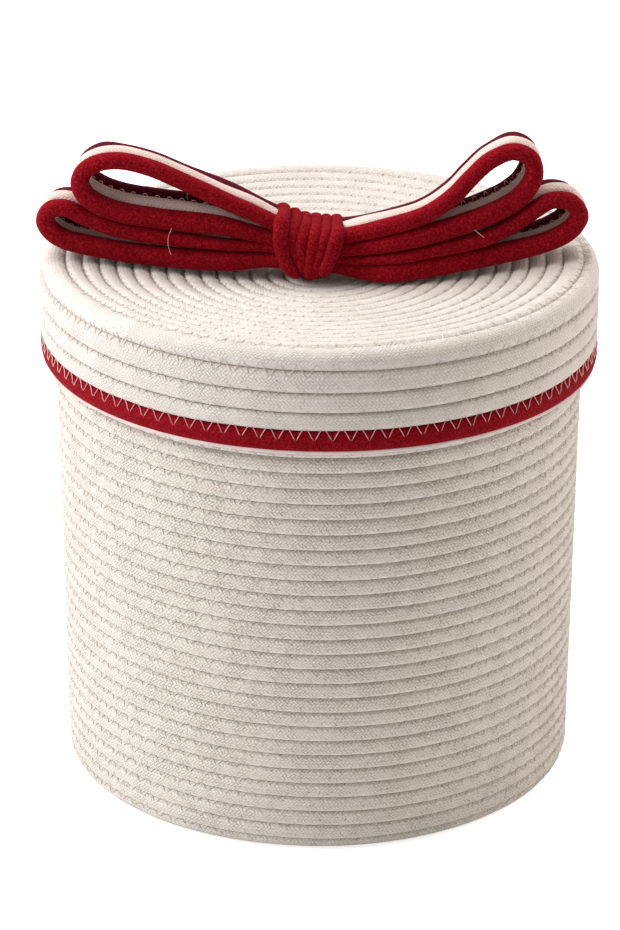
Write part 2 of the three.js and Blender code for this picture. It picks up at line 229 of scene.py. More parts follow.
naturalSpec = {
    "name": "naturalCottonRope",
    "braidMap": "Braid",
    "colour": (0.765, 0.712, 0.662),
    # painted shade in the braid's gaps, its colour and where it starts
    "gapColour": (0.36, 0.30, 0.235),
    "gapRange": (0.25, 1.0),
    "gapShade": 0.66,
    "worn": 0.35,  # share by which the braid fades in places
    "wornScale": 95,
    "wornRange": (0.38, 0.62),
    "patchColour": (0.75, 0.68, 0.595),
    "patch": 0.12,
    "patchScale": 22,
    "patchRange": (0.35, 0.7),
    "lintColour": (0.95, 0.92, 0.88),
    "lint": 0.6,
    "lintRange": (0.55, 0.8),
    "fleckColour": (0.25, 0.19, 0.13),
    "fleck": 0.6,
    "fleckScale": 1050,
    "fleckRange": (0.63, 0.70),
    "shadeUnderSeamColour": (0.50, 0.43, 0.355),
    "shadeUnderSeam": 0.06,  # painted shade on the upper part of each course, close to the seam above it
    "shadeUnderSeamRange": (0.35, 0.95),
    "lightOverSeamColour": (0.95, 0.92, 0.88),
    "lightOverSeam": 0.65,  # painted light on the lower part of each course, close to the seam below it
    "lightOverSeamRange": (0.3, 0.75),
    "seamShadowColour": (0.105, 0.073, 0.047),
    "seamShade": 1.0,
    "seamFrom": 0.2,  # where the painted seam shade starts to fade and where it ends
    "seamReach": 0.55,
    "ragged": 0.3,
    "raggedScale": 330,
    "calm": 0.0,  # share by which the painted seam shade is paler on top, and between which heights that starts
    "calmFrom": (0.236, 0.246),
    "strands": 15,
    "yarns": 1,
    "wander": 0.05,
    "wanderScale": 60,
    "slipRound": 0.3,  # share of that wander that also goes round the rope
    "shiver": 0.05,
    "shiverScale": 420,
    "fuzz": 0.3,
    "fuzzScale": 1700,
    "bump": 0.0006,
    "bumpStrength": 0.7,
    "roughness": 0.92,
    "fuzzGloss": 0.08,
    "specular": 0.15,
    "sheenRoughness": 0.45,
    "sheen": 0.1,
    "sheenColour": (1.0, 0.95, 0.88),
}
redSpec = {
    **naturalSpec,
    "name": "dyedRedRope",
    "braidMap": "UVMap",
    "colour": (0.197, 0.001, 0.0048),
    "gapColour": (0.06, 0.0004, 0.0016),
    "gapShade": 0.6,
    "patchColour": (0.18, 0.001, 0.004),
    "lintColour": (0.42, 0.011, 0.024),
    "lint": 0.65,
    "lintRange": (0.42, 0.68),
    "fleckColour": (0.4, 0.06, 0.07),
    "fleck": 0.06,
    "fuzz": 0.6,
    "fuzzScale": 1100,
    "strands": 10,
    "yarns": 2,
    "seamShade": 0,
    "specular": 0.06,
    "sheen": 0.05,
    "sheenColour": (1.0, 0.16, 0.2),
}
paleSpec = {
    **naturalSpec,
    "name": "paleCottonCord",
    "braidMap": "UVMap",
    # pale cotton; its pink tint is painted reflection of the red trim above it
    "colour": (0.98, 0.79, 0.765),
    "gapShade": 0.15,
    "patch": 0.0,
    "fleck": 0.1,
    "seamShade": 0,
}
strapSpec = {
    **paleSpec,
    "name": "naturalStrapRope",
    "colour": (0.84, 0.655, 0.605),
    "gapShade": 0.35,
    "fleck": 0.25,
}
lidSpec = {
    **naturalSpec,
    "name": "naturalLidRope",
    "colour": (0.75, 0.69, 0.648),
    "gapShade": 0.42,
    "fleck": 0.35,
    "seamShadowColour": (0.24, 0.17, 0.12),
    "seamShade": 0.72,
    "seamReach": 0.62,
    "ragged": 0.15,
    "shadeUnderSeam": 0.15,
    "lightOverSeam": 0.3,
    "calm": 0.7,
}
# the bow's back ropes: a darker copy of the red, painted shade for where they lie in the loops' shade
shadedRedSpec = {
    **redSpec,
    "name": "dyedDeepRedRope",
    "colour": (0.09, 0.005, 0.013),
    "gapColour": (0.03, 0.0015, 0.005),
    "patchColour": (0.07, 0.003, 0.009),
    "lintColour": (0.17, 0.015, 0.03),
}
sewing = {
    "cream": (0.86, 0.80, 0.72),
    "creamRoughness": 0.6,
    "blush": (0.9, 0.52, 0.49),
    "blushRoughness": 0.5,
    "twistScale": 900,
    "plyShade": 0.72,  # painted shade between the thread's plies: how dark it is there
    "plyRange": (0.3, 0.7),
    "bump": 0.0001,
    "bumpStrength": 0.6,
    "specular": 0.3,
}


def threadMaterial(shade):
    material = bpy.data.materials.new(shade + "SewingThread")
    tree = emptyTree(material)
    twist = tree.noise(tree.add("ShaderNodeTexCoord", {}, (), "Object"), sewing["twistScale"], 2)
    # painted shade between the plies, where the twist noise is low
    between = [value * sewing["plyShade"] for value in sewing[shade]]
    relief = {"Strength": sewing["bumpStrength"], "Distance": sewing["bump"], "Height": twist}
    look = {
        "Base Color": tree.mixColours(twist.smooth(*sewing["plyRange"]), between, sewing[shade]),
        "Roughness": sewing[shade + "Roughness"],
        "Specular IOR Level": sewing["specular"],
    }
    tree.fabric(look, relief)
    return material


naturalRope = ropeMaterial(naturalSpec)
lidCotton = ropeMaterial(lidSpec)
redRope = ropeMaterial(redSpec)
shadedRedRope = ropeMaterial(shadedRedSpec)
paleCord = ropeMaterial(paleSpec)
bowCream = ropeMaterial(strapSpec)
creamThread = threadMaterial("cream")
blushThread = threadMaterial("blush")
print("materials made")


# Geometry Nodes: one tree for each rule, run once and kept as a plain mesh

socketTypes = {float: "NodeSocketFloat", int: "NodeSocketInt"}


def newGeometryTree(name, values):
    nodeTree = bpy.data.node_groups.new(name, "GeometryNodeTree")
    nodeTree.interface.new_socket("Geometry", in_out="INPUT", socket_type="NodeSocketGeometry")
    for label, value in values.items():
        kind = socketTypes.get(type(value), "NodeSocketMaterial")
        nodeTree.interface.new_socket(label, in_out="INPUT", socket_type=kind)
    nodeTree.interface.new_socket("Geometry", in_out="OUTPUT", socket_type="NodeSocketGeometry")
    tree = Tree(nodeTree)
    entry = tree.add("NodeGroupInput", {}, (), None)
    inputs = {socket.name: Flow(tree, socket) for socket in entry.outputs if socket.name}
    return tree, inputs


def endTree(tree, geometry, material):
    whole = tree.add("GeometryNodeRealizeInstances", {}, {"Geometry": geometry})
    values = {"Geometry": whole, "Material": material}
    tree.add("NodeGroupOutput", {}, [tree.add("GeometryNodeSetMaterial", {}, values)], None)


def grow(name, tree, values, mesh=None):
    # runs a tree on a start mesh and keeps the result as a plain mesh
    start = addObject(name + "Start", mesh or bpy.data.meshes.new(name + "Start"))
    modifier = start.modifiers.new("grow", "NODES")
    modifier.node_group = tree.nodeTree
    for item in tree.nodeTree.interface.items_tree:
        if item.in_out == "INPUT" and item.name in values:
            modifier[item.identifier] = values[item.name]
    start.update_tag()
    graph = bpy.context.evaluated_depsgraph_get()
    made = bpy.data.meshes.new_from_object(start.evaluated_get(graph), depsgraph=graph)
    start.modifiers.remove(modifier)
    bpy.data.objects.remove(start)
    made.name = name
    made.shade_smooth()
    print(name, "grown:", len(made.polygons), "faces")
    return addObject(name, made)


def settle(piece, body, slot, *nodes):
    # hands a finished piece to the frame
    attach(piece, body)
    if nodes:
        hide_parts(*nodes)


# The two coils. A place on a coil is its course, counted outwards in ropes or in
# millimetres, and its depth under the outer face.

_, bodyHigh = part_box("body_coil")
_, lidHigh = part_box("lid_coil")

coil = {
    "heart": -2.0,  # mm from the axis to the middle of the rope's end, which starts past it
    "climbAtBack": 0.4,  # share of each turn's climb made behind the middle
    "stepsPerTurn": 120,
    "waver": 0.5,  # mm that the sewn ropes wander
    "waverScale": 28.0,
    "press": 1.012,  # width of a sewn rope as a share of its pitch
    "weld": 0.01,  # mm within which points become one
}
basket = {
    "radius": bodyHigh.x / mm,
    "height": bodyHigh.z / mm,
    "footRadius": 123.0,
    "rimRadius": 124.0,
    "cornerRadius": 6.5,
    "thickness": 8.0,
    "pitch": 7.57,
    "girth": 28.0,
    "outerShare": 1.08,  # width of the braid on the outer face, as a share of the plain one
    "phase": 0.18,  # course at the front where the helix starts
    "squareness": 4.2,
    "sectionPoints": 14,
    "waistDrop": 1.3,  # mm that the middle courses lie lower than evenly spaced ones
    "waistAt": 0.48,  # the waist's place and reach, as shares of the profile
    "waistReach": 0.37,
    "waistLimit": -0.9,  # least share of the drop, near the foot and the rim
    "endGap": 0.02,  # turns by which the rope ends short of the rim
}
lid = {
    "radius": lidHigh.x / mm,
    "crestZ": lidHigh.z / mm,
    "skirtThickness": 6.5,
    "topThickness": 8.0,
    "shoulderWidth": 10.7,
    "shoulderHeight": 9.8,
    "shoulderPower": 0.8,  # under 1, the shoulder is squarer than round
    "girth": 29.0,
    "outerShare": 1.1,
    "shoulderShare": 1.1,  # added to outerShare on the shoulder, and the next in the skirt
    "skirtShare": 0.2,
    "skirtFrom": (0.3, 1.3),  # courses past the shoulder's inner edge
    "topPitch": 8.0,
    "skirtPitch": 9.6,
    "creamCourses": 3,
    "dishDepth": 11.0,
    "slack": 1.2,  # mm that the seams in the skirt lie lower than evenly spaced ones
    "squareness": 3.3,
    "sectionPoints": 18,
    "edgeWidth": 2.2,  # of the thin cord under the trim
}
lid["dishRadius"] = lid["radius"] - lid["shoulderWidth"]
lid["skirtInside"] = lid["radius"] - lid["skirtThickness"]
lid["firstSeamZ"] = lid["crestZ"] - lid["shoulderHeight"]
lid["shoulder"] = lid["dishRadius"] / lid["topPitch"]
lid["creamEnd"] = lid["shoulder"] + 1 + lid["creamCourses"]
lid["creamEndZ"] = lid["firstSeamZ"] - lid["creamCourses"] * lid["skirtPitch"]
coverZ = lid["creamEndZ"] - lid["skirtPitch"] - lid["edgeWidth"]
cornerLength = quarterTurn * basket["cornerRadius"]
basketEnd = cornerLength + basket["height"] - basket["cornerRadius"]
frontAngle = -quarterTurn


def basketSurface(distance, depth):
    # base, rounded corner and wall, by the distance from the corner's inner edge
    corner = basket["cornerRadius"]
    bend = (distance / cornerLength).within(0, 1) * quarterTurn
    reach = corner - depth
    height = corner - reach * bend.cos() + (distance - cornerLength).most(0)
    rise = ((height - corner) / (coverZ - corner)).within(0, 1)
    under = ((height - coverZ) / (basket["height"] - coverZ)).within(0, 1)
    spread = basket["radius"] - basket["footRadius"]
    drawIn = basket["radius"] - basket["rimRadius"]
    lean = rise * spread - under * under * drawIn
    middle = basket["footRadius"] - corner
    return middle + distance.least(0) + reach * bend.sin() + lean, height


def lidSurface(course, depth):
    # dished top, rounded shoulder and skirt, by the course counted from the centre
    inner = course.least(lid["shoulder"])
    turn = (course - lid["shoulder"]).within(0, 1) * quarterTurn
    out = turn.sin().most(0) ** lid["shoulderPower"]
    up = turn.cos().most(0) ** lid["shoulderPower"]
    sink = lid["dishDepth"] * (1 - (inner / lid["shoulder"]) ** 2)
    below = (course - lid["shoulder"] - 1).most(0)
    slack = ((below / lid["creamCourses"]).least(1) * math.pi).sin() * lid["slack"]
    drop = below * lid["skirtPitch"] + slack
    radius = inner * lid["topPitch"] + (lid["shoulderWidth"] - depth) * out
    height = lid["firstSeamZ"] + (lid["shoulderHeight"] - depth) * up - sink - drop
    return radius, height


def lidThickness(course):
    turn = (course - lid["shoulder"]).within(0, 1)
    return lid["topThickness"] + turn * (lid["skirtThickness"] - lid["topThickness"])


def rise(turns):
    # courses gained after so many turns from the front, unevenly round the basket
    return turns - coil["climbAtBack"] / fullTurn * (turns * fullTurn).sin()


def onCircle(tree, radius, angle, height):
    return tree.vector(radius * angle.cos() * mm, radius * angle.sin() * mm, height * mm)


def wavered(tree, geometry):
    # a slight hand-made wander, the same for everything at one place
    place = tree.add("GeometryNodeInputPosition")
    field = tree.noise(place, coil["waverScale"], 1.0, "Color")
    middle = tree.add("ShaderNodeVectorMath", {"operation": "SUBTRACT"}, [field, (0.5, 0.5, 0.5)])
    offset = tree.scaled(middle, coil["waver"] * mm)
    return tree.setPosition(geometry, Offset=offset)


def sewnLength(turns, pitch, bendTurns, radius):
    # rope or seam length after so many turns from the centre
    inner = turns.least(bendTurns)
    return math.pi * pitch * inner * inner + fullTurn * radius * (turns - bendTurns).most(0)


def coilTree(name, values, place, swell):
    # a rope wound as place() says: a grid of rings, each a squarish section, whose outer
    # face is swell() times as wide as its share of the girth
    tree, inputs = newGeometryTree(name, values)
    steps = inputs["Steps per Turn"]
    points = inputs["Section Points"]
    rings = (inputs["Turns"] * steps).floor() + 3
    gridValues = {"Size X": 1.0, "Size Y": 1.0, "Vertices X": rings, "Vertices Y": points + 1}
    grid = tree.add("GeometryNodeMeshGrid", {}, gridValues, None)
    mesh = Flow(tree, grid.outputs[0])
    gridU, gridV, _ = Flow(tree, grid.outputs[1]).parts()

    def turnsAt(ring):
        # the first and the last ring close the rope's ends
        return (ring - 1).within(0, rings - 3) / steps

    turns = turnsAt(gridU * (rings - 1))
    length = sewnLength(turns, inputs["Pitch"], inputs["Bend Turns"], inputs["Radius"])
    braidV = (gridV - gridV.above(0.5)) * swell(inputs["First Turn"] + turns)
    uvSettings = {"data_type": "FLOAT2", "domain": "CORNER"}
    for label, across in (("UVMap", gridV), ("Braid", braidV)):
        uv = tree.vector(length / inputs["Girth"], across, 0)
        uvValues = {"Geometry": mesh, "Name": label, "Value": uv}
        mesh = tree.add("GeometryNodeStoreNamedAttribute", uvSettings, uvValues)

    index = tree.add("GeometryNodeInputIndex")
    ring = (index / (points + 1)).floor()
    angle = (index - ring * (points + 1)) / points * fullTurn
    power = inputs["Squareness"]
    norm = (abs(angle.cos()) ** power + abs(angle.sin()) ** power) ** (1 / power)
    closed = ring.least(rings - 1 - ring).least(1)
    outward = angle.cos() / norm * closed
    upward = angle.sin() / norm * closed
    spot = place(tree, inputs, inputs["First Turn"] + turnsAt(ring), outward, upward)
    mesh = wavered(tree, tree.setPosition(mesh, Position=spot))
    merge = {"Geometry": mesh, "Distance": coil["weld"] * mm}
    mesh = tree.add("GeometryNodeMergeByDistance", {}, merge)
    endTree(tree, mesh, inputs["Material"])
    return tree


def basketSeam(course):
    # distance of a seam along the profile; courses are widest near the lid
    even = course * basket["pitch"]
    fromMiddle = (even / basketEnd - basket["waistAt"]) / basket["waistReach"]
    drop = (1 - fromMiddle * fromMiddle).most(basket["waistLimit"]) * basket["waistDrop"]
    return (even - drop * even.within(0, 1)).least(basketEnd)


def basketPlace(tree, inputs, turns, outward, upward):
    course = basket["phase"] + rise(turns)
    low = basketSeam(course)
    high = basketSeam(course + 1)
    distance = (low + high) / 2 + upward * (high - low) / 2 * inputs["Press"]
    depth = (1 - outward) * basket["thickness"] / 2
    radius, height = basketSurface(distance, depth)
    return onCircle(tree, radius, frontAngle - turns * fullTurn, height)


def lidPlace(tree, inputs, turns, outward, upward):
    middle = lid["creamEnd"] - 0.5 + rise(turns)
    course = middle + upward * -0.5 * inputs["Press"]
    depth = (1 - outward) * lidThickness(course) / 2
    radius, height = lidSurface(course, depth)
    return onCircle(tree, radius, frontAngle + turns * fullTurn, height)


def lidSwell(turns):
    # the shoulder's rope shows twice as much of its girth as the others
    pastShoulder = lid["creamEnd"] - 0.5 + rise(turns) - lid["shoulder"]
    onShoulder = (1 - abs(pastShoulder - 0.5)).most(0)
    inSkirt = pastShoulder.smooth(*lid["skirtFrom"])
    return lid["outerShare"] + onShoulder * lid["shoulderShare"] + inSkirt * lid["skirtShare"]


basketHeart = basket["footRadius"] - basket["cornerRadius"] - coil["heart"]
basketStart = -basketHeart / basket["pitch"] - 0.5
basketValues = {
    "Turns": basketEnd / basket["pitch"] - basket["phase"] - basketStart - basket["endGap"],
    "First Turn": basketStart,
    "Steps per Turn": coil["stepsPerTurn"],
    "Section Points": basket["sectionPoints"],
    "Pitch": basket["pitch"],
    "Bend Turns": basket["footRadius"] / basket["pitch"],
    "Radius": basket["radius"] - basket["thickness"] / 2,
    "Squareness": basket["squareness"],
    "Press": coil["press"],
    "Girth": basket["girth"],
    "Material": naturalRope,
}
windBasket = coilTree("windBasket", basketValues, basketPlace, lambda turns: basket["outerShare"])
settle(grow("basketRope", windBasket, basketValues), "basket", "natural_rope", "body_coil")

lidStart = coil["heart"] / lid["topPitch"] - lid["creamEnd"] + 0.5
lidValues = {
    **basketValues,
    "Turns": 0.5 - lidStart,
    "First Turn": lidStart,
    "Section Points": lid["sectionPoints"],
    "Pitch": lid["topPitch"],
    "Bend Turns": lid["shoulder"],
    "Radius": lid["radius"] - lid["skirtThickness"] / 2,
    "Squareness": lid["squareness"],
    "Girth": lid["girth"],
    "Material": lidCotton,
}
windLid = coilTree("windLid", lidValues, lidPlace, lidSwell)
settle(grow("lidRope", windLid, lidValues), "lid", "natural_rope", "lid_coil")


# Seams: zigzag sewing thread along a coil

def endThread(tree, curve, inputs, sides, isCapped):
    # the curve becomes a tube of thread
    circle = {"Resolution": sides, "Radius": inputs["Thread"] / 2 * mm}
    profile = tree.add("GeometryNodeCurvePrimitiveCircle", {"mode": "RADIUS"}, circle)
    tube = {"Curve": curve, "Profile Curve": profile, "Fill Caps": isCapped}
    endTree(tree, tree.add("GeometryNodeCurveToMesh", {}, tube), inputs["Material"])


def seamTree(name, values, place):
    # one long zigzag; four points to a leg, the first of them sunk at the needle's hole
    tree, inputs = newGeometryTree(name, values)
    pitch = inputs["Pitch"]
    radius = inputs["Radius"]
    bends = ("First Turn", "Last Turn", "Bend Turns")
    start, end, bend = (sewnLength(inputs[key], pitch, inputs["Bend Turns"], radius) for key in bends)
    pointsPerLeg = 4
    count = ((end - start) / inputs["Stitch"] * (2 * pointsPerLeg)).floor()
    line = tree.add("GeometryNodeMeshLine", {}, {"Count": count})
    step = tree.add("GeometryNodeInputIndex") / pointsPerLeg
    leg = step.floor()
    share = step - leg
    side = 1 - (leg % 2) * 2
    reach = (inputs["Above"] + inputs["Below"]) / 2
    shift = (inputs["Above"] - inputs["Below"]) / 2 + side * reach * (1 - share * 2)
    isTip = 1 - share.above(0.5 / pointsPerLeg)
    travelled = start + step * (inputs["Stitch"] / 2)
    inner = travelled.least(bend)
    turns = (inner / (math.pi * pitch)) ** 0.5 + (travelled - inner) / (fullTurn * radius)
    spot = place(tree, inputs, turns, shift, isTip)
    line = wavered(tree, tree.setPosition(line, Position=spot))
    curve = tree.add("GeometryNodeMeshToCurve", {}, {"Mesh": line})
    endThread(tree, curve, inputs, 3, False)
    return tree


def threadDepth(tree, inputs, shift, half, thickness, isTip, turns):
    # how deep the thread lies: on the rope's rounded edge, bridging the groove
    reach = (1 - abs(shift) / half).within(0, 1)
    power = inputs["Squareness"]
    edge = (1 - (1 - reach ** power) ** (1 / power)) * thickness / 2
    loose = tree.noise(tree.vector(turns * stitch["loosePerTurn"], 0, 0), 1.0, 2.0)
    sag = inputs["Sag"] * (stitch["tight"] + loose * stitch["looser"])
    return edge.least(sag) + inputs["Thread"] * (isTip - stitch["proud"])


def basketSeamPlace(tree, inputs, turns, shift, isTip):
    fromFront = turns + basketStart
    seam = basketSeam(basket["phase"] + rise(fromFront))
    half = basket["pitch"] / 2
    depth = threadDepth(tree, inputs, shift, half, basket["thickness"], isTip, turns)
    radius, height = basketSurface(seam + shift, depth)
    return onCircle(tree, radius, frontAngle - fromFront * fullTurn, height)


def lidSeamPlace(tree, inputs, turns, shift, isTip):
    fromFront = turns + lidStart
    seam = lid["creamEnd"] + rise(fromFront)
    inner = seam.smooth(lid["shoulder"], lid["shoulder"] + 1)
    pitch = lid["topPitch"] + inner * (lid["skirtPitch"] - lid["topPitch"])
    course = seam - shift / pitch
    depth = threadDepth(tree, inputs, shift, pitch / 2, lidThickness(course), isTip, turns)
    radius, height = lidSurface(course, depth)
    return onCircle(tree, radius, frontAngle + fromFront * fullTurn, height)


stitch = {
    "length": 8.35,  # one zigzag, there and back
    "trimLength": 8.2,
    "above": 2.95,
    "below": 4.75,
    "thread": 0.42,
    "trimThread": 0.5,
    "sag": 0.55,
    "reach": 2.5,  # of the plain seams, whose thread lies sunk in the groove
    "sunk": 1.15,
    "loosePerTurn": 37.0,  # how often the thread goes slack and tight in one turn
    "tight": 0.4,  # share of the sag where it is tightest, and what slack adds
    "looser": 1.2,
    "proud": 0.25,  # share of its thickness by which the thread's middle lies further out
    "basketFrom": 0.6 - basketStart,  # turns from the coil's start, past the base's own seams
    "lidFrom": 2.07,
    "basketEndGap": 1.6,  # turns from the last stitch to the rope's end
}


def sew(name, place, body, rope, start, end, changes):
    # a seam of thread along a coil, from one turn to another
    values = {
        **{label: rope[label] for label in ("Pitch", "Radius", "Bend Turns", "Squareness")},
        "First Turn": start,
        "Last Turn": end,
        "Stitch": stitch["length"],
        "Above": stitch["reach"],
        "Below": stitch["reach"],
        "Thread": stitch["thread"],
        "Sag": stitch["sunk"],
        "Material": creamThread,
        **changes,
    }
    settle(grow(name, seamTree(name, values, place), values), body, "natural_rope")


trimStitches = {
    "Stitch": stitch["trimLength"],
    "Above": stitch["above"],
    "Below": stitch["below"],
    "Sag": stitch["sag"],
    "Thread": stitch["trimThread"],
    "Material": blushThread,
}
basketTo = basketValues["Turns"] - stitch["basketEndGap"]
trimFrom = lidValues["Turns"] - 1
sew("basketSeamThread", basketSeamPlace, "basket", basketValues, stitch["basketFrom"], basketTo, {})
sew("lidSeamThread", lidSeamPlace, "lid", lidValues, stitch["lidFrom"], trimFrom, {})
sew("trimSeamThread", lidSeamPlace, "lid", lidValues, trimFrom, lidValues["Turns"], trimStitches)


# Trim and edge cord: the last turns of the lid, each one rope laid round the skirt

def meshPiece(name, rings, girth, material, isClosed):
    # a rope through rings of points; rope length and girth, in mm, make its UV map
    rings = np.array(rings)
    count, sides = rings.shape[:2]
    middles = rings.mean(axis=1)
    gaps = np.linalg.norm(np.roll(middles, -1, axis=0) - middles, axis=1)
    lengths = np.concatenate([[0], np.cumsum(gaps)]) / (girth * mm)
    faces = []
    uvs = []
    for i in range(count if isClosed else count - 1):
        here = i * sides
        there = (i + 1) % count * sides
        for j in range(sides):
            k = (j + 1) % sides
            faces.append((here + j, here + k, there + k, there + j))
            ends = ((i, j), (i, j + 1), (i + 1, j + 1), (i + 1, j))
            uvs += [(lengths[ring], point / sides) for ring, point in ends]
    if not isClosed:
        faces.append(tuple(reversed(range(sides))))
        faces.append(tuple((count - 1) * sides + j for j in range(sides)))
        uvs += [(0.0, j / sides) for j in range(2 * sides)]
    mesh = bpy.data.meshes.new(name)
    mesh.from_pydata([tuple(point) for point in rings.reshape(-1, 3)], [], faces)
    layer = mesh.uv_layers.new(name="UVMap")
    layer.data.foreach_set("uv", np.array(uvs, np.float32).ravel())
    mesh.materials.append(material)
    mesh.shade_smooth()
    print(name, "made:", len(faces), "faces")
    return addObject(name, mesh)


def sectionOutline(sides, halfWidth, halfHeight, power):
    outline = []
    for j in range(sides):
        angle = fullTurn * j / sides
        c = math.cos(angle)
        s = math.sin(angle)
        norm = (abs(c) ** power + abs(s) ** power) ** (1 / power)
        outline.append((halfWidth * c / norm, halfHeight * s / norm))
    return outline


def skirtEdgeZ(angle):
    turned = angle + coil["climbAtBack"] * math.sin(angle - quarterTurn)
    climbed = (turned - 3 * quarterTurn) / fullTurn
    return lid["creamEndZ"] - climbed * lid["skirtPitch"]


def hoop(name, spec, material):
    # a rope laid round under the skirt's last course, from the middle of the back
    outline = sectionOutline(spec["sides"], spec["width"] / 2, spec["height"] / 2, spec["squareness"])
    radius = lid["skirtInside"] + spec["across"]
    rings = []
    for i in range(spec["steps"] + 1):
        angle = quarterTurn + spec["endGap"] + (fullTurn - 2 * spec["endGap"]) * i / spec["steps"]
        z = skirtEdgeZ(angle) - spec["top"] - spec["height"] / 2
        c = math.cos(angle) * mm
        s = math.sin(angle) * mm
        rings.append([((radius + out) * c, (radius + out) * s, (z + up) * mm) for out, up in outline[::-1]])
    return meshPiece(name, rings, spec["girth"], material, False)


trim = {
    "sides": 20,
    "squareness": 3.0,
    "girth": 28.0,
    "steps": 240,
    "endGap": 0.004,  # in radians
    "top": 0.15,  # under the skirt's last course
    "overhang": 0.7,  # how far it covers the edge cord
    "width": lid["skirtThickness"],
    "across": lid["skirtThickness"] / 2,  # from the skirt's inside to its middle
}
trim["height"] = lid["skirtPitch"] - trim["top"] + trim["overhang"]
edge = {
    **trim,
    "sides": 12,
    "squareness": 2.2,
    "girth": 7.0,
    "top": lid["skirtPitch"] - 0.1,  # a little into the trim
    "width": lid["edgeWidth"] + 0.2,  # flattened a little
    "height": lid["edgeWidth"],
    "across": lid["skirtThickness"] * 0.68,  # towards the outside
}
settle(hoop("trimRope", trim, redRope), "lid", "dyed_rope", "lid_trim_rope")
settle(hoop("edgeCord", edge, paleCord), "lid", "natural_rope", "lid_edge_cord")


# Bow: two straps of three ropes, pinched by the knot

bow = {
    "ropeWidth": 8.9,
    "ropePitch": 9.0,
    "pressed": 0.11,  # share by which upper strands are thinner and lower ones thicker
    "backSag": 2.0,  # the back rope of an upper strand lies this much lower
    "sagX": -16.0,
    "sag": (25.0, 51.0),  # from sagX: where the sag starts and is full
    # from the knot's middle: where the sag is less and gone, where the middle rope's lift
    # starts, is full and ends, and where a loop's end and the lifts start and are full
    "sagEnd": (86.0, 100.0),
    "middleLift": 1.2,  # the middle rope of an upper strand lies higher beside the knot
    "middleLiftEnds": (12.0, 24.0, 44.0),
    "loopEnd": (78.0, 112.0),
    "lift": (28.0, 62.0),
    "drawnTogether": 1.6,  # the ropes lie this much closer in the knot
    "drawnOver": 22.0,  # and spread again over this length beside it
    "knotX": -5.0,
    "knotY": -5.0,
    "skew": 0.15,  # slope of the straps' run through the knot, seen from above
    "knotHalfWidth": 19.775,
    # heights of each strand above the lid's centre, at four places through the knot
    "pile": [
        (10.0, 10.0, 9.4, 7.6),
        (16.4, 14.8, 13.0, 12.5),
        (21.3, 19.5, 17.5, 17.7),
        (30.0, 26.0, 23.2, 24.6),
    ],
    "sides": 22,
    "stepsPerPoint": 14,
    "squareness": 2.25,
    "girth": 27.5,
    "puff": 0.03,  # share by which a rope is thicker or thinner along its way
    "puffScale": 0.09,
}
dishCentreZ = lid["crestZ"] - lid["dishDepth"]


def knotLine(x):
    return bow["knotY"] - bow["skew"] * (x - bow["knotX"])


def knotPass(slot):
    # a strand's run through the knot, from left to right
    points = []
    for share, z in zip((-1, -0.5, 0.5, 1), bow["pile"][slot]):
        x = bow["knotX"] + share * bow["knotHalfWidth"]
        points.append((x, knotLine(x), z))
    return points


# route: x, the middle rope's y and the front rope's height above the lid's centre;
# leftLift, rightLift: how much higher a lower strand's front, middle and back rope lie;
# drawnIn: how much shorter the middle and the back rope are at a loop's end;
# raised: how much higher they lie there, in an upper strand;
# pinched: how high an upper and a lower strand are in the knot;
# rounded: from the knot to where they are round again
straps = {
    "Upper": {
        "leftLift": (0, 1.9, 3.5),
        "rightLift": (0, 0.4, 0.6),
        "drawnIn": (0.5, 1.7),
        "raised": (0.9, 0.1),
        "pinched": (7.4, 7.4),
        "rounded": (14.0, 36.0),
        "route": [
            *reversed(knotPass(3)),
            (-32, -1.5, 33.4), (-40, -1, 37.1), (-52, -0.4, 42.8), (-66, 0, 49.3), (-80, 0, 55.4),
            (-94, 0, 58.7), (-104, 0, 57.6), (-110.3, 0, 54), (-112.9, 0, 48.5), (-110.8, 0, 42.3),
            (-104, 0, 37), (-94, 0, 33.3), (-80, 0, 30.7), (-62, 0, 28.4), (-46, -0.7, 26.9),
            (-35, -1.2, 24),
            *knotPass(2),
            (38, -10, 22.9), (62, -6.5, 28.4), (78, -4, 33.5), (89, -2.4, 38.5), (96.5, -1.4, 44.6),
            (100.6, -1, 53.2), (98.7, -1, 60.9), (90.8, -1, 64.2), (80, -1.5, 60), (71, -2.9, 51.9),
            (62.5, -4.8, 43.2), (50, -8, 35.4), (32, -10, 30),
        ],
    },
    "Lower": {
        "leftLift": (0, -1, -1.2),
        "rightLift": (0, -1, -0.8),
        "drawnIn": (0.6, 3.0),
        "raised": (1.2, -0.3),
        "pinched": (5.0, 8.0),
        "rounded": (70.0, 14.0),
        "route": [
            *reversed(knotPass(1)),
            (-46, -1, 17.7), (-74, 0, 20.9), (-96, 0, 24.9), (-111, 0, 30.9), (-120, 0, 35.2),
            (-126.8, 0, 34.4), (-129.6, 0, 29.4), (-127.2, 0, 24.2), (-120.5, 0, 19.7),
            (-110, 0, 16.8), (-84, 0, 12.2), (-50, -1, 9.6),
            *knotPass(0),
            (27, -9.4, 6.9), (38, -10, 7.6), (60, -7, 10.4), (84, -3, 14), (108, -1.5, 20),
            (119, -1, 26.4), (122.4, -1, 33), (118, -1, 39.4), (109, -1, 40), (100, -1.4, 34.6),
            (91, -2.2, 28.5), (80, -3.9, 23.2), (69, -5.7, 20.3), (55, -7.8, 17.9), (40, -10, 15.2),
        ],
    },
}


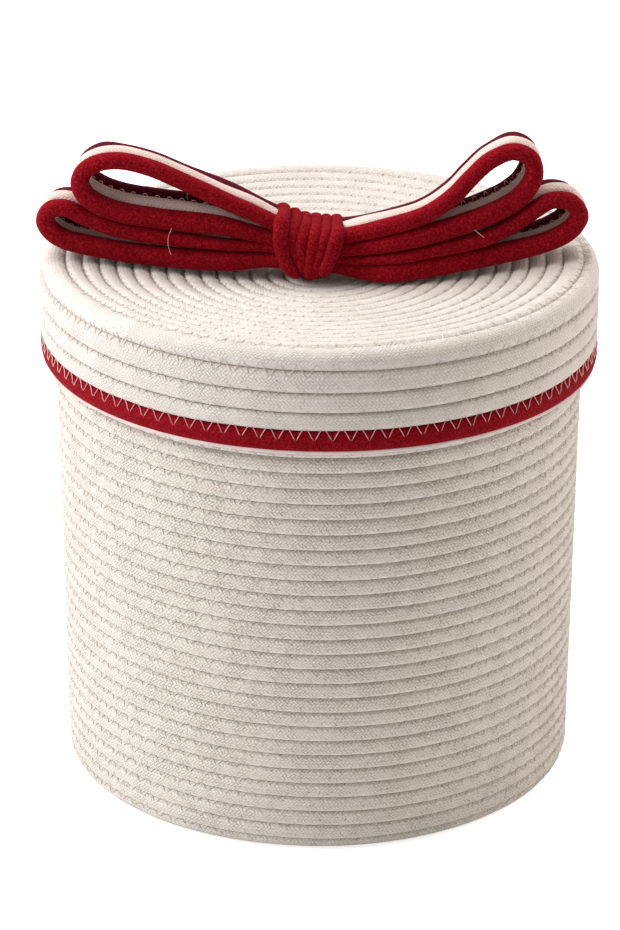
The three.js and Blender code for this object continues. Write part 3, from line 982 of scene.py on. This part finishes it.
def smoothThrough(points, steps, isClosed):
    # a centripetal spline through the points
    points = [Vector(point) for point in points]
    if isClosed:
        padded = points[-1:] + points + points[:2]
    else:
        padded = [points[0] * 2 - points[1], *points, points[-1] * 2 - points[-2]]
    line = []
    for a, b, c, d in zip(padded, padded[1:], padded[2:], padded[3:]):
        gapA, gapB, gapC = ((q - p).length ** 0.5 for p, q in ((a, b), (b, c), (c, d)))
        start = ((b - a) / gapA - (c - a) / (gapA + gapB) + (c - b) / gapB) * gapB
        end = ((c - b) / gapB - (d - b) / (gapB + gapC) + (d - c) / gapC) * gapB
        for k in range(steps):
            t = k / steps
            here = b * (2 * t**3 - 3 * t**2 + 1) + start * (t**3 - 2 * t**2 + t)
            here += c * (3 * t**2 - 2 * t**3) + end * (t**3 - t**2)
            line.append(here)
    return line if isClosed else line + points[-1:]


def easedIn(value, start, end):
    share = min(1, max(0, (value - start) / (end - start)))
    return share * share * (3 - 2 * share)


def mixed(first, second, share):
    return first + (second - first) * share


def ropeFrames(strap, place):
    # middle, side, direction into the loop and half height along one rope of a strap, whose
    # place is -1 for the front rope and 1 for the back one
    half = bow["ropeWidth"] / 2
    points = [(x, y, z + dishCentreZ) for x, y, z in strap["route"]]
    line = smoothThrough(points, bow["stepsPerPoint"], True)
    frames = []
    for i, centre in enumerate(line):
        along = (line[(i + 1) % len(line)] - line[i - 1]).normalized()
        side = (Vector((0, 1, 0)) - along * along.y).normalized()
        inward = along.cross(side)
        away = abs(centre.x - bow["knotX"])
        fromKnot = away - bow["knotHalfWidth"]
        below = (1 + inward.z) / 2
        rounded = easedIn(fromKnot, 0, mixed(*strap["rounded"], below))
        full = half * (1 + bow["pressed"] * inward.z)
        lifts = strap["leftLift" if centre.x < bow["knotX"] else "rightLift"]
        rise = lifts[place + 1] * easedIn(away, *bow["lift"]) * max(0, inward.z)
        upper = max(0, -inward.z)
        if place == 0:
            start, top, end = bow["middleLiftEnds"]
            lifted = easedIn(away, start, top) * (1 - easedIn(away, top, end))
            rise += bow["middleLift"] * lifted * upper
        if place == 1:
            sagging = easedIn(abs(centre.x - bow["sagX"]), *bow["sag"])
            sagging *= 1 - easedIn(away, *bow["sagEnd"])
            rise -= bow["backSag"] * sagging * upper
        shorter = 0
        if place > -1:
            end = easedIn(away, *bow["loopEnd"])
            shorter = math.copysign(strap["drawnIn"][place] * end, centre.x - bow["knotX"])
            rise += strap["raised"][place] * end * upper
        drawn = bow["drawnTogether"] * (1 - easedIn(fromKnot, 0, bow["drawnOver"]))
        middle = centre + Vector((-shorter, place * (bow["ropePitch"] - drawn), rise))
        frames.append((middle, side, inward, mixed(mixed(*strap["pinched"], below) / 2, full, rounded)))
    return frames


def strapRope(name, strap, place, material):
    rings = []
    for middle, side, inward, halfHeight in ropeFrames(strap, place):
        puff = (1 + bow["puff"] * noise.noise(middle * bow["puffScale"])) * mm
        outline = sectionOutline(bow["sides"], bow["ropeWidth"] / 2, halfHeight, bow["squareness"])
        rings.append([middle * mm + (side * w + inward * h) * puff for w, h in outline])
    return meshPiece(name, rings, bow["girth"], material, True)


# the back ropes take the red's darker copy, which is painted shade
strapMaterials = {"Front": (-1, redRope), "Middle": (0, bowCream), "Back": (1, shadedRedRope)}
for level, strap in straps.items():
    for label, (place, material) in strapMaterials.items():
        rope = strapRope(f"bow{level}{label}Rope", strap, place, material)
        slotName = "natural_rope" if place == 0 else "dyed_rope"
        settle(rope, "lid", slotName, f"bow_{level.lower()}_{label.lower()}_rope")


# Knot: one red rope wound round the straps, its turns drawn together low in front

knot = {
    "pitch": 5.65,
    "rope": 4.9,
    "clear": 0.5,  # between the straps and the winding
    "corner": 6.5,
    "stepsPerCorner": 10,
    "stepsPerSide": 8,
    "sides": 20,
    "rise": -0.06,  # the winding climbs to the left
    "forward": 1.2,  # the winding bulges to the front
    "middleZ": 15.45,
    "halfZ": 12.55,
    "taper": 0.004,  # share that the winding is lower, for each mm to the right
    "waver": 0.35,
    "waverScale": 0.11,
    "seed": 2,  # of the waver
    "plainWider": 0.5,  # a turn on the back is this much wider than thick
    "softenOver": 5,  # steps to either side over which a turn's shape is evened out
    "swell": 0.55,  # share of a turn's extra width that it is thicker, too
    "thicker": 0.3,
    "squareness": 2.3,
    "girth": 19.0,
    # each turn: its middle from the knot's middle at five places down the front, its width,
    # how far it is pressed in, down at the top and up below
    "turns": [
        ((-11.6, -12.8, -13.8, -10.3, -5.6), 7.4, -0.6, -0.6, 2.6),
        ((-6.0, -7.0, -7.9, -4.9, -3.4), 6.2, 1.4, 0.0, 3.2),
        ((-1.0, -2.1, -3.4, -3.0, -2.3), 6.2, 0.8, 1.0, 2.9),
        ((3.9, 3.1, 1.9, 0.1, -0.4), 6.2, 0.2, 1.2, 1.1),
        ((8.4, 8.0, 6.2, 3.2, 1.9), 5.9, 0.4, 0.9, 2.0),
        ((13.2, 13.5, 11.8, 8.2, 6.0), 7.0, -0.3, 0.6, 4.4),
    ],
}


def turnOutline():
    # one turn as (y, z) around the straps, from the back over the top to the front
    corner = knot["corner"]
    strapHalf = bow["ropePitch"] - bow["drawnTogether"] + bow["ropeWidth"] / 2
    flatY = strapHalf + knot["clear"] + knot["rope"] / 2 - corner
    flatZ = knot["halfZ"] - corner
    middles = ((flatY, flatZ), (-flatY, flatZ), (-flatY, -flatZ), (flatY, -flatZ))
    outline = []
    for i, (y, z) in enumerate(middles):
        for k in range(knot["stepsPerCorner"] + 1):
            angle = quarterTurn * (i + k / knot["stepsPerCorner"])
            outline.append((y + corner * math.cos(angle), z + corner * math.sin(angle)))
        endY, endZ = outline[-1]
        nextY, nextZ = middles[(i + 1) % 4]
        for k in range(1, knot["stepsPerSide"]):
            t = k / knot["stepsPerSide"]
            outline.append((endY + (nextY - y) * t, endZ + (nextZ - z) * t))
    return outline


def turnStations():
    # where along the winding, in turns, its place, width, depth and shift upwards are known
    stations = []
    count = len(knot["turns"])
    for i, (places, width, depth, dropped, raised) in enumerate(knot["turns"]):
        back = (i - (count - 1) / 2) * knot["pitch"]
        plain = knot["rope"] + knot["plainWider"]
        stations += [
            (i - 0.04, back - knot["pitch"] * 0.4, plain, 0, -dropped),
            (i + 0.14, places[0], (plain + width) / 2, depth / 2, -dropped),
            (i + 0.28, places[1], width, depth, -dropped),
            (i + 0.4, places[2], width, depth, 0),
            (i + 0.5, places[3], width * 0.93, depth, raised / 2),
            (i + 0.58, places[4], width * 0.85, depth, raised),
            (i + 0.7, (back + places[4]) / 2, plain, 0, raised),
            (i + 0.88, back + knot["pitch"] * 0.2, plain, 0, 0),
        ]
    return np.array(stations)


def knotPiece():
    noise.seed_set(knot["seed"])
    outline = turnOutline()
    perTurn = len(outline)
    middleZ = dishCentreZ + knot["middleZ"]
    total = len(knot["turns"]) * perTurn
    stations = turnStations()
    where = np.arange(total + 1) / perTurn
    reach = knot["softenOver"]
    soften = np.hanning(2 * reach + 1)
    profile = []
    for column in (1, 2, 3, 4):
        values = np.interp(where, stations[:, 0], stations[:, column])
        profile.append(np.convolve(np.pad(values, reach, "edge"), soften / soften.sum(), "valid"))
    line = []
    for i, (across, _, depth, shifted) in enumerate(zip(*profile)):
        y, z = outline[i % perTurn] if 0 < i < total else (outline[0][0], 0)
        inwards = 1 - depth / abs(outline[0][0])
        x = bow["knotX"] + across
        up = z * inwards * (1 - knot["taper"] * across) + knot["rise"] * across + shifted
        spot = Vector((x, knotLine(x) - knot["forward"] + y * inwards, middleZ + up))
        line.append(spot + noise.noise_vector(spot * knot["waverScale"]) * knot["waver"])
    rings = []
    for i, centre in enumerate(line):
        along = (line[min(total, i + 1)] - line[max(0, i - 1)]).normalized()
        side = (Vector((1, 0, 0)) - along * along.x).normalized()
        outward = along.cross(side)
        width = profile[1][i]
        height = mixed(knot["rope"], width, knot["swell"]) + knot["thicker"]
        section = sectionOutline(knot["sides"], width / 2, height / 2, knot["squareness"])
        rings.append([(centre + side * w + outward * h) * mm for w, h in section])
    return meshPiece("knotRope", rings, knot["girth"], redRope, False)


settle(knotPiece(), "lid", "dyed_rope", "knot_rope")


# Sewing thread on the bow: the wave inside each loop, and loose ends

def waveTree(values):
    # thread along a line, swinging to the side that the line's own attributes give
    tree, inputs = newGeometryTree("sewWave", values)
    curve = tree.add("GeometryNodeMeshToCurve", {}, {"Mesh": inputs["Geometry"]})
    evened = {"Curve": curve, "Count": inputs["Points"]}
    curve = tree.add("GeometryNodeResampleCurve", {}, evened)
    length = tree.add("GeometryNodeSplineParameter", {}, (), "Length")
    swing = (length / inputs["Stitch"] * (fullTurn / mm)).sin() * inputs["Swing"]
    half = inputs["Rope"] / 2
    fromMiddle = abs(inputs["Rope Pitch"] / 2 - abs(swing)).least(half)
    ropeTop = (half * half - fromMiddle * fromMiddle).most(0) ** 0.5
    lift = (ropeTop + inputs["Thread"] * inputs["Proud"]).most(inputs["Bridge"])
    kind = {"data_type": "FLOAT_VECTOR"}
    sideways = tree.add("GeometryNodeInputNamedAttribute", kind, {"Name": "side"})
    inwards = tree.add("GeometryNodeInputNamedAttribute", kind, {"Name": "inward"})
    moves = [tree.scaled(sideways, swing * mm), tree.scaled(inwards, lift * mm)]
    offset = tree.add("ShaderNodeVectorMath", {"operation": "ADD"}, moves)
    endThread(tree, tree.setPosition(curve, Offset=offset), inputs, 4, True)
    return tree


def linePiece(name, points, sides, inwards):
    # a chain of edges that carries the directions waveTree reads
    mesh = bpy.data.meshes.new(name)
    edges = [(i, i + 1) for i in range(len(points) - 1)]
    mesh.from_pydata([tuple(Vector(point) * mm) for point in points], edges, [])
    for label, vectors in (("side", sides), ("inward", inwards)):
        layer = mesh.attributes.new(label, "FLOAT_VECTOR", "POINT")
        layer.data.foreach_set("vector", np.array(vectors, np.float32).ravel())
    return mesh


wave = {
    "Points": 900,
    "Stitch": 5.9,
    "Swing": 3.1,
    "Rope": bow["ropeWidth"],
    "Rope Pitch": bow["ropePitch"],
    "Bridge": 2.2,  # least height over the ropes' middle, where the thread spans the joint
    "Proud": 0.4,  # share of its thickness that the thread's middle lies off the rope
    "Thread": 0.5,
    "Material": blushThread,
}
waveWork = waveTree(wave)
sewnFrom = 44.0  # mm from the knot's middle to where the seam opens to view


def loopLines(strap):
    # beside the joint of the middle and back ropes, inside each loop of a strap
    found = {"Left": [], "Right": []}
    for middleRope, backRope in zip(ropeFrames(strap, 0), ropeFrames(strap, 1)):
        spot = mixed(middleRope[0], backRope[0], 0.5)
        if abs(spot.x - bow["knotX"]) > sewnFrom:
            label = "Left" if spot.x < bow["knotX"] else "Right"
            thickness = 2 * middleRope[3] / bow["ropeWidth"]
            found[label].append((spot, middleRope[1], middleRope[2] * thickness))
    return found


threads = []
for level, strap in straps.items():
    for label, frames in loopLines(strap).items():
        joints, sides, inwards = zip(*frames)
        start = linePiece("joint", joints, sides, inwards)
        threads.append(grow(f"loopThread{level}{label}", waveWork, wave, start))
tails = {
    "tailLeft": [(-69.8, -13.4, 272.5), (-71.2, -14.6, 269), (-71.5, -14.6, 265), (-70.2, -14.2, 259.6)],
    "tailRight": [(72.9, -18.8, 274.2), (74.8, -19.4, 272.6), (77.2, -19.2, 270.5)],
    "tailInside": [(-62.7, 4.5, 280.5), (-62.9, 4.2, 282), (-62.7, 4.2, 284)],
}
tailValues = {**wave, "Points": 16, "Swing": 0.0, "Thread": 0.3}
tailSteps = 6
for name, points in tails.items():
    line = smoothThrough(points, tailSteps, False)
    still = [(0, 0, 0)] * len(line)
    threads.append(grow(name, waveWork, tailValues, linePiece(name, line, still, still)))
for thread in threads:
    settle(thread, "lid", "natural_rope")
print("bow sewn:", len(threads), "threads")


# Stage: floor, lamps, camera

stage = {
    "floorSize": 12.0,
    "floorDrop": 0.0003,  # the lowest rope swells 0.13 mm below zero
    "floorColour": (0.86, 0.86, 0.86),
    "glow": 0.72,
    "world": 0.35,
    "worldColour": (1.0, 0.965, 0.92),
    "lamps": {
        "windowLeft": {"at": (-1.72, -0.22, 1.15), "size": 1.4, "power": 41.0, "colour": (0.975, 0.985, 1.0)},
        "cardRight": {"at": (1.9, 0.42, 0.65), "size": 1.3, "power": 19.0, "colour": (1.0, 0.925, 0.85)},
        "softTop": {"at": (-0.2, 0.35, 1.9), "size": 1.6, "power": 24.4, "colour": (1.0, 0.98, 0.965)},
    },
    "aim": (-0.0042, 0.0, 0.146),
    "elevation": 22.9,
    "distance": 2.125,
    "lens": 169.5,
    "sensorHeight": 36.0,
    "roll": 0.19,
}


def seenDirectly(tree):
    # 1 for what the camera, a gloss or a clear surface sees, 0 for the light on the basket
    names = ("Is Camera Ray", "Is Glossy Ray", "Is Transmission Ray")
    rays = [tree.add("ShaderNodeLightPath", {}, (), name) for name in names]
    return rays[0].most(rays[1]).most(rays[2])


def floorMaterial():
    material = bpy.data.materials.new("paleFloor")
    tree = emptyTree(material)
    diffuse = tree.add("ShaderNodeBsdfDiffuse", {}, {"Color": stage["floorColour"]})
    shine = {"Color": (1, 1, 1), "Strength": seenDirectly(tree) * stage["glow"]}
    glow = tree.add("ShaderNodeEmission", {}, shine)
    both = tree.add("ShaderNodeAddShader", {}, [diffuse, glow])
    tree.add("ShaderNodeOutputMaterial", {}, {"Surface": both}, None)
    return material


def makeStage():
    half = stage["floorSize"] / 2
    mesh = bpy.data.meshes.new("floor")
    z = -stage["floorDrop"]
    corners = [(-half, -half, z), (half, -half, z), (half, half, z), (-half, half, z)]
    mesh.from_pydata(corners, [], [(0, 1, 2, 3)])
    mesh.materials.append(floorMaterial())
    addObject("floor", mesh)
    for name, spec in stage["lamps"].items():
        light = bpy.data.lights.new(name, "AREA")
        light.size = spec["size"]
        light.energy = spec["power"]
        light.color = spec["colour"]
        lamp = addObject(name, light)
        lamp.location = spec["at"]
        towards = Vector(stage["aim"]) - Vector(spec["at"])
        lamp.rotation_euler = towards.to_track_quat("-Z", "Y").to_euler()
    world = bpy.data.worlds.new("studio")
    tree = emptyTree(world)
    seen = seenDirectly(tree)
    strength = stage["world"] + seen * (1 - stage["world"])
    tone = tree.mixColours(seen, stage["worldColour"], (1, 1, 1))
    background = tree.add("ShaderNodeBackground", {}, {"Color": tone, "Strength": strength})
    tree.add("ShaderNodeOutputWorld", {}, {"Surface": background}, None)
    bpy.context.scene.world = world


def makeCamera():
    data = bpy.data.cameras.new("camera")
    data.sensor_fit = "VERTICAL"
    data.sensor_height = stage["sensorHeight"]
    data.lens = stage["lens"]
    data.clip_end = 50
    camera = addObject("camera", data)
    angle = math.radians(stage["elevation"])
    aim = Vector(stage["aim"])
    back = Vector((0, -math.cos(angle), math.sin(angle)))
    camera.location = aim + back * stage["distance"]
    turn = (-back).to_track_quat("-Z", "Y").to_euler()
    turn.rotate_axis("Z", math.radians(stage["roll"]))
    camera.rotation_euler = turn
    bpy.context.scene.camera = camera


makeStage()
makeCamera()
bpy.context.scene.view_settings.view_transform = "Standard"
print("stage set")
